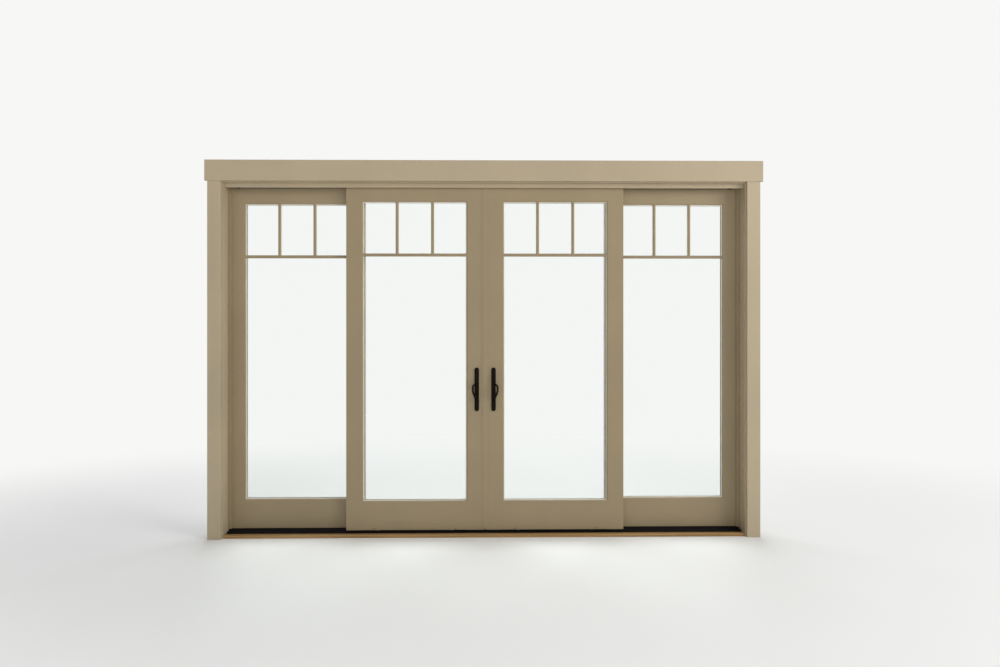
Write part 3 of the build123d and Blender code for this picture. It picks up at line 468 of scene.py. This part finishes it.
vinyl = moulded(
    "beige_vinyl", colour=(0.42, 0.36, 0.27), dusty=(0.33, 0.29, 0.23), roughness=0.38, grain=900
)
rubber = moulded(
    "black_rubber", colour=(0.020, 0.020, 0.020), dusty=(0.070, 0.066, 0.060),
    roughness=0.62, grain=1300,
)
paint_nodes(vinyl, ["head_guide"] + on_both_sides(["interlock", "fixed_interlock"]))
paint_nodes(rubber, ["head_bumpers"])

# %% [markdown]
# ## Sealed glass
# Each unit is two sheets of glass with dry air between them. Clear float glass is very slightly
# green. Round the edge the sheets are held apart by a spacer and black sealant, so the outer band
# of the same solid is mixed over to an opaque shader. A lamp's light can't find its way through
# refracting glass by itself, so rays on their way to a lamp meet a clear shader instead, and the
# glass casts hardly any shadow.

# %% Glass
GLASS_TINT = (0.982, 0.995, 0.988)
GLASS_BENDING = 1.5
SHADOW_TINT = (0.95, 0.96, 0.955, 1)
SPACER_BLACK = (0.018, 0.018, 0.018, 1)
SPACER_WIDTH = 0.009
SPACER_BLEND = 0.0004


def sealed_glass(node):
    low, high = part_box(node)
    middle = (low + high) / 2
    half = (high - low) / 2
    finish = Finish(f"{node}_glass")
    finish.set("Base Color", GLASS_TINT)
    finish.set("Roughness", 0.0)
    finish.set("IOR", GLASS_BENDING)
    finish.set("Transmission Weight", 1.0)
    from_side = half.x - abs(finish.axis("X") - middle.x)
    from_end = half.z - abs(finish.axis("Z") - middle.z)
    inset = from_side.maths("MINIMUM", from_side, from_end)
    edge = finish.step(inset, SPACER_WIDTH + SPACER_BLEND, SPACER_WIDTH)
    spacer = finish.node(
        "ShaderNodeBsdfPrincipled", {}, {"Base Color": SPACER_BLACK, "Roughness": 0.6}
    )
    to_lamp = finish.node("ShaderNodeLightPath", output="Is Shadow Ray")
    clear = finish.node("ShaderNodeBsdfTransparent", {}, {"Color": SHADOW_TINT})
    pane = finish.node("ShaderNodeMixShader", {}, {0: to_lamp, 1: finish.own_shader(), 2: clear})
    finish.show(finish.node("ShaderNodeMixShader", {}, {0: edge, 1: pane, 2: spacer}))
    paint_nodes(finish, [node])


for side in sides:
    sealed_glass(f"{side}_glass_unit")
    sealed_glass(f"{side}_fixed_glass_unit")

# %% [markdown]
# ## Tools for small pieces
# Every added piece goes through the same few moves: start from a block, pick its faces and edges
# by where they are and which way they look, work on them, and give the finished piece its material
# and the body it moves with. Picking by place, and not by number, keeps working when a size
# changes.

# %% Picking
def deselect():
    bpy.ops.object.select_all(action="DESELECT")


def pick(*pieces):
    """Select these pieces alone. The first one is the active one."""
    deselect()
    for piece in pieces:
        piece.select_set(True)
    bpy.context.view_layer.objects.active = pieces[0]


def edit(piece):
    """Open a piece in edit mode with nothing of it selected."""
    pick(piece)
    bpy.ops.object.mode_set(mode="EDIT")
    bpy.ops.mesh.select_mode(type="FACE")
    bpy.ops.mesh.select_all(action="DESELECT")


def pick_faces(piece, wanted):
    """Select the faces for which wanted(middle, normal) is true."""
    mesh = bmesh.from_edit_mesh(piece.data)
    for face in mesh.faces:
        face.select = wanted(face.calc_center_median(), face.normal)
    mesh.select_flush_mode()
    bmesh.update_edit_mesh(piece.data)


def pick_edges(piece, wanted):
    """Select the edges for which wanted(start, end) is true."""
    bpy.ops.mesh.select_mode(type="EDGE")
    bpy.ops.mesh.select_all(action="DESELECT")
    mesh = bmesh.from_edit_mesh(piece.data)
    for edge in mesh.edges:
        edge.select = wanted(*(vert.co for vert in edge.verts))
    bmesh.update_edit_mesh(piece.data)

# %% [markdown]
# ## Starting and finishing a piece
# A block is placed by two of its corners, and its place is worked into its mesh at once, so that
# its origin stays at zero like that of every solid that came in. A finished piece is smoothed
# where its faces turn gently, and left sharp elsewhere.

# %% Blocks, joins and finished pieces
SMOOTH_BELOW = math.radians(35)


def block(name, low, high):
    """A closed box between two corners, with its shape in the mesh and its origin at zero."""
    deselect()
    middle = [(a + b) / 2 for a, b in zip(low, high)]
    bpy.ops.mesh.primitive_cube_add(size=1.0, location=middle)
    piece = bpy.context.object
    piece.name = name
    piece.scale = [b - a for a, b in zip(low, high)]
    bpy.ops.object.transform_apply(location=True, rotation=True, scale=True)
    return piece


def finished(piece, finish, body):
    """Smooth the rounded parts, then give the piece its finish and the body it moves with."""
    pick(piece)
    bpy.ops.object.shade_smooth_by_angle(angle=SMOOTH_BELOW)
    piece.data.materials.clear()
    piece.data.materials.append(finish.material)
    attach(piece, body)
    print(piece.name, "has", len(piece.data.polygons), "faces and moves with", body)


def joined(pieces, name):
    pick(*pieces)
    bpy.ops.object.join()
    pieces[0].name = name
    return pieces[0]

# %% [markdown]
# ## Glazing beads
# The glass is bedded on the sticking, and a thin bead of sealant shows all round it on both faces.
# Each bead here is a plain ring cut from one block: the block is sized to the glass that can be
# seen, its front and back are inset, and bridging the two takes the middle away. The ring's inner
# edge, on the side away from the glass, is then rounded over, as a wet finger would leave it. The
# sealant is given a colour much paler than the paint, and that paleness is a painted highlight: it
# draws the thin light line round every pane that daylight through the glass puts on the sticking.

# %% Beads round the glass
GROOVE_COVER = 0.0125
BEAD_WIDTH = 0.005
BEAD_THICK = 0.0025
BEAD_ROUND = 0.0018
NEAR = 1e-5


def bead(unit, face, outward):
    """A ring of sealant on one face of a glass unit. Outward is 1 or -1 along Y."""
    low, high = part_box(unit)
    proud = face + outward * BEAD_THICK
    back, front = sorted((face, proud))
    piece = block(
        f"{unit}_bead",
        (low.x + GROOVE_COVER, back, low.z + GROOVE_COVER),
        (high.x - GROOVE_COVER, front, high.z - GROOVE_COVER),
    )
    edit(piece)
    pick_faces(piece, lambda middle, normal: abs(normal.y) > 0.9)
    bpy.ops.mesh.inset(thickness=BEAD_WIDTH, use_individual=True)
    bpy.ops.mesh.bridge_edge_loops()
    opening = (high.x - low.x) / 2 - GROOVE_COVER - BEAD_WIDTH
    middle_x = (high.x + low.x) / 2

    def on_inner_edge(place):
        return abs(place.y - proud) < NEAR and abs(place.x - middle_x) < opening + NEAR

    pick_edges(piece, lambda start, end: on_inner_edge(start) and on_inner_edge(end))
    bpy.ops.mesh.bevel(offset=BEAD_ROUND, segments=3)
    bpy.ops.object.mode_set(mode="OBJECT")
    return piece


# The sealant's pale colour is a painted highlight round the glass.
sealant_with_painted_highlight = moulded(
    "pale_sealant_painted_highlight", colour=(0.76, 0.72, 0.62), dusty=(0.68, 0.64, 0.54),
    roughness=0.34, grain=700,
)
for unit, body in (
    ("left_glass_unit", "left_panel"),
    ("left_fixed_glass_unit", "frame"),
    ("right_glass_unit", "right_panel"),
    ("right_fixed_glass_unit", "frame"),
):
    low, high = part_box(unit)
    beads = joined([bead(unit, low.y, -1), bead(unit, high.y, 1)], f"{unit}_beads")
    finished(beads, sealant_with_painted_highlight, body)

# %% [markdown]
# ## Bulb seals
# Where the sliding panels meet there is a narrow gap, and two soft bulbs on the edge of the left
# panel close it to draughts. Seen from the end each bulb is half a circle. It starts as a square
# strip, and the two long outer edges are rounded until they meet.

# %% Seals on the meeting edge
SEAL_RADIUS = 0.0021
SEAL_ENDS = (0.040, 2.366)
SEAL_PLACES = (-0.0252, 0.0102)
SEAL_ROUNDED = 0.98


def bulb_seal(place, edge_x):
    piece = block(
        "bulb_seal",
        (edge_x, place - SEAL_RADIUS, SEAL_ENDS[0]),
        (edge_x + SEAL_RADIUS, place + SEAL_RADIUS, SEAL_ENDS[1]),
    )
    edit(piece)
    halfway = edge_x + SEAL_RADIUS / 2
    pick_edges(piece, lambda start, end: (
        min(start.x, end.x) > halfway and abs(start.z - end.z) > SEAL_RADIUS
    ))
    bpy.ops.mesh.bevel(offset=SEAL_RADIUS * SEAL_ROUNDED, segments=6)
    bpy.ops.object.mode_set(mode="OBJECT")
    return piece


low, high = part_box("left_meeting_stile")
seals = joined([bulb_seal(place, high.x) for place in SEAL_PLACES], "meeting_seals")
finished(seals, rubber, "left_panel")

# %% [markdown]
# ## Screws
# The handle plates are drawn together by two long screws from indoors, and the lock and strike are
# held by short ones. A screw is modelled once, pointing along Y: a disc is its head, the shank is
# drawn out of the disc's back, and the disc's front is inset in steps that can rise to a dome.

# %% Screw
DOME_STEPS = (0.25, 0.22, 0.2)
ALONG_Y = math.radians(90)


def screw(name, radius, depth, shank_radius, shank_length, dome):
    """A screw whose head starts at Y = 0 and whose shank points along +Y."""
    deselect()
    bpy.ops.mesh.primitive_cylinder_add(
        vertices=40, radius=radius, depth=depth,
        location=(0, depth / 2, 0), rotation=(ALONG_Y, 0, 0),
    )
    piece = bpy.context.object
    piece.name = name
    bpy.ops.object.transform_apply(location=True, rotation=True, scale=True)
    edit(piece)
    pick_faces(piece, lambda middle, normal: normal.y > 0.9)
    bpy.ops.mesh.inset(thickness=radius - shank_radius)
    bpy.ops.mesh.extrude_region_move(TRANSFORM_OT_translate={"value": (0, shank_length, 0)})
    bpy.ops.mesh.select_all(action="DESELECT")
    pick_faces(piece, lambda middle, normal: normal.y < -0.9 and middle.y < NEAR)
    for share in DOME_STEPS:
        bpy.ops.mesh.inset(thickness=radius * share)
        bpy.ops.transform.translate(value=(0, -dome * share, 0))
    bpy.ops.object.mode_set(mode="OBJECT")
    return piece

# %% [markdown]
# ## A cross in the head
# The driver's cross is tapered, so it is two narrow blocks whose deep ends are drawn in, and each
# is taken away from the head in turn.

# %% Cross recess
CROSS_LENGTH, CROSS_WIDTH = 0.58, 0.13
DEEP_LENGTH, DEEP_WIDTH = 0.45, 0.8
CUTTER_LEAD = 0.001


def cross_recess(piece, radius, depth, top):
    """Sink a cross with sloping ends into the head's face, which is at Y = top."""
    length, width = radius * CROSS_LENGTH, radius * CROSS_WIDTH
    for x, z, slope in (
        (length, width, (DEEP_LENGTH, 1, DEEP_WIDTH)),
        (width, length, (DEEP_WIDTH, 1, DEEP_LENGTH)),
    ):
        cutter = block("cutter", (-x, top - CUTTER_LEAD, -z), (x, top + depth, z))
        edit(cutter)
        pick_faces(cutter, lambda middle, normal: normal.y > 0.9)
        bpy.ops.transform.resize(value=slope)
        bpy.ops.object.mode_set(mode="OBJECT")
        modifier = piece.modifiers.new("recess", "BOOLEAN")
        modifier.object = cutter
        modifier.operation = "DIFFERENCE"
        modifier.solver = "EXACT"
        pick(piece)
        bpy.ops.object.modifier_apply(modifier="recess")
        bpy.data.objects.remove(cutter)

# %% [markdown]
# ## Screws of the handles
# The long screw is as long as the solid it stands in for, and a copy of it goes to each end of the
# handle's plate. Every copy has its own mesh, and its place is worked into that mesh.

# %% Handle screws
def placed(piece, name, spot, turn=0.0):
    """A copy with its own mesh, turned and moved, with its origin left at zero."""
    copy = piece.copy()
    copy.data = piece.data.copy()
    copy.name = name
    bpy.context.scene.collection.objects.link(copy)
    copy.rotation_euler = (0, 0, turn)
    copy.location = spot
    pick(copy)
    bpy.ops.object.transform_apply(location=True, rotation=True, scale=True)
    return copy


HEAD_RADIUS = 0.0045
HEAD_DEPTH = 0.0025
SHANK_RADIUS = 0.0025
CROSS_DEPTH = 0.0018

low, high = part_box("left_handle_screws")
shank_length = high.y - low.y - HEAD_DEPTH
long_screw = screw("long_screw", HEAD_RADIUS, HEAD_DEPTH, SHANK_RADIUS, shank_length, dome=0.0)
cross_recess(long_screw, HEAD_RADIUS, CROSS_DEPTH, top=0.0)
for side in sides:
    low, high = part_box(f"{side}_handle_screws")
    middle_x = (low.x + high.x) / 2
    heights = (low.z + HEAD_RADIUS, high.z - HEAD_RADIUS)
    pair = [placed(long_screw, "handle_screw", (middle_x, low.y, z)) for z in heights]
    both = joined(pair, f"{side}_cross_screws")
    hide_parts(f"{side}_handle_screws")
    finished(both, bronze, f"{side}_panel")
bpy.data.objects.remove(long_screw)

# %% [markdown]
# ## Small screws on the meeting edges
# The lock's faceplate and the strike are each held by two low-headed screws that point into the
# edge of a stile. They are the same screw at a smaller size, turned by a quarter to point along X.

# %% Screws of the lock and the strike
PLATE_HEAD_RADIUS = 0.0034
PLATE_HEAD_DEPTH = 0.0004
PLATE_SHANK_RADIUS = 0.0018
PLATE_SHANK_LENGTH = 0.002
PLATE_DOME = 0.0004
PLATE_CROSS_DEPTH = 0.0009

short_screw = screw(
    "short_screw", PLATE_HEAD_RADIUS, PLATE_HEAD_DEPTH, PLATE_SHANK_RADIUS, PLATE_SHANK_LENGTH,
    dome=PLATE_DOME,
)
cross_recess(short_screw, PLATE_HEAD_RADIUS, PLATE_CROSS_DEPTH, top=-PLATE_DOME)
for node, name, finish, slot, body, inset, outward in (
    ("right_lock_case", "faceplate_screws", stainless, "lock_steel", "right_panel", 0.010, -1),
    ("left_strike_plate", "strike_screws", bronze, "bronze", "left_panel", 0.006, 1),
):
    low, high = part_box(node)
    face = low.x if outward < 0 else high.x
    middle_y = (low.y + high.y) / 2
    turn = math.radians(90 * outward)
    heights = (low.z + inset, high.z - inset)
    both = joined([placed(short_screw, name, (face, middle_y, z), turn) for z in heights], name)
    finished(both, finish, body)
bpy.data.objects.remove(short_screw)

# %% [markdown]
# ## A plain studio
# The door stands on a pale floor that runs off far behind it. Near the door the floor is plain
# matt and takes the door's shadow. Further off it fades to the same even white as the sky, so that
# no horizon shows through the glass.

# %% Floor and sky
SKY = (0.93, 0.93, 0.92)
FLOOR_PAINT = (0.86, 0.86, 0.845)
FLOOR_SIZE = 120.0
FLOOR_DROP = 0.0006
SQUEEZE_X = 0.55
FADE = (1.0, 3.2)

deselect()
bpy.ops.mesh.primitive_grid_add(
    x_subdivisions=4, y_subdivisions=4, size=FLOOR_SIZE, location=(0, 0, -FLOOR_DROP)
)
floor = bpy.context.object
floor.name = "studio_floor"
bpy.ops.object.transform_apply(location=True, rotation=True, scale=True)
floor_finish = Finish("studio_floor")
floor_finish.set("Base Color", FLOOR_PAINT)
floor_finish.set("Roughness", 1.0)
floor_finish.set("Specular IOR Level", 0.0)
along = abs(floor_finish.axis("X")) * SQUEEZE_X
across = abs(floor_finish.axis("Y"))
far = floor_finish.step((along ** 2 + across ** 2) ** 0.5, *FADE)
glow = floor_finish.node("ShaderNodeEmission", {}, {"Color": (*SKY, 1), "Strength": 1.0})
matt = floor_finish.own_shader()
floor_finish.show(floor_finish.node("ShaderNodeMixShader", {}, {0: far, 1: matt, 2: glow}))
floor.data.materials.append(floor_finish.material)
print("the floor is", FLOOR_SIZE, "m wide and lies", FLOOR_DROP, "m below the door")

# %% [markdown]
# ## Even light from all round
# The sky lights the door softly from every side. What the camera sees of it, directly, through the
# glass or as a reflection, is a plain pale tone instead, so its brightness can be set without
# changing the light.

# %% Sky light
SKY_LIGHT = (0.97, 0.98, 1.0)
AMBIENT = 0.35

world = bpy.data.worlds.new("studio")
bpy.context.scene.world = world
world.use_nodes = True
sky = Network(world.node_tree)
sky.tree.nodes.remove(sky.tree.nodes["Background"])
seen = sky.node("ShaderNodeBackground", {}, {"Color": (*SKY, 1), "Strength": 1.0})
lighting = sky.node("ShaderNodeBackground", {}, {"Color": (*SKY_LIGHT, 1), "Strength": AMBIENT})
looked_at = sky.node("ShaderNodeLightPath", output="Is Camera Ray")
for way in ("Is Glossy Ray", "Is Transmission Ray"):
    looked_at = looked_at.maths("MAXIMUM", looked_at, sky.node("ShaderNodeLightPath", output=way))
sky.show(sky.node("ShaderNodeMixShader", {}, {0: looked_at, 1: lighting, 2: seen}))
print("the sky lights the door with a strength of", AMBIENT)

# %% [markdown]
# ## Four soft lamps
# In the photograph the light comes from the right, so the key lamp stands far out on that side. It
# strikes the panels at a low angle and brings out the mouldings, and a weaker lamp fills from the
# left. Both stand where the camera doesn't meet their reflections in the panes. A low lamp behind
# the camera lifts the shadow under the head casing, and it is hidden from reflections for the same
# reason. The last hangs high behind the door. It lights the outdoor side and the floor there,
# which would otherwise look dull through the glass.

# %% Lamps
def soft_lamp(name, place, aim, width, height, watts, colour):
    """A rectangular lamp that looks at a place and is itself unseen."""
    data = bpy.data.lights.new(name, "AREA")
    data.shape = "RECTANGLE"
    data.size = width
    data.size_y = height
    data.energy = watts
    data.color = colour
    lamp = bpy.data.objects.new(name, data)
    lamp.location = place
    direction = mathutils.Vector(aim) - mathutils.Vector(place)
    lamp.rotation_euler = direction.to_track_quat("-Z", "Y").to_euler()
    lamp.visible_camera = False
    lamp.visible_transmission = False
    bpy.context.scene.collection.objects.link(lamp)
    print(name, "lamp of", watts, "W")
    return lamp


soft_lamp(
    "key", place=(6.8, -4.2, 3.7), aim=(-0.2, 0, 1.2),
    width=3.4, height=2.6, watts=290, colour=(1.0, 0.98, 0.95),
)
soft_lamp(
    "fill", place=(-3.4, -5.2, 4.9), aim=(0.2, 0, 1.1),
    width=4.5, height=2.6, watts=30, colour=(1.0, 0.97, 0.93),
)
front = soft_lamp(
    "front", place=(1.2, -6.8, 2.1), aim=(0, 0, 1.2),
    width=6.0, height=3.0, watts=75, colour=(1.0, 0.98, 0.95),
)
front.visible_glossy = False
soft_lamp(
    "daylight", place=(0.0, 3.4, 4.4), aim=(0, 0, 1.2),
    width=6.0, height=2.5, watts=190, colour=(0.95, 0.975, 1.0),
)
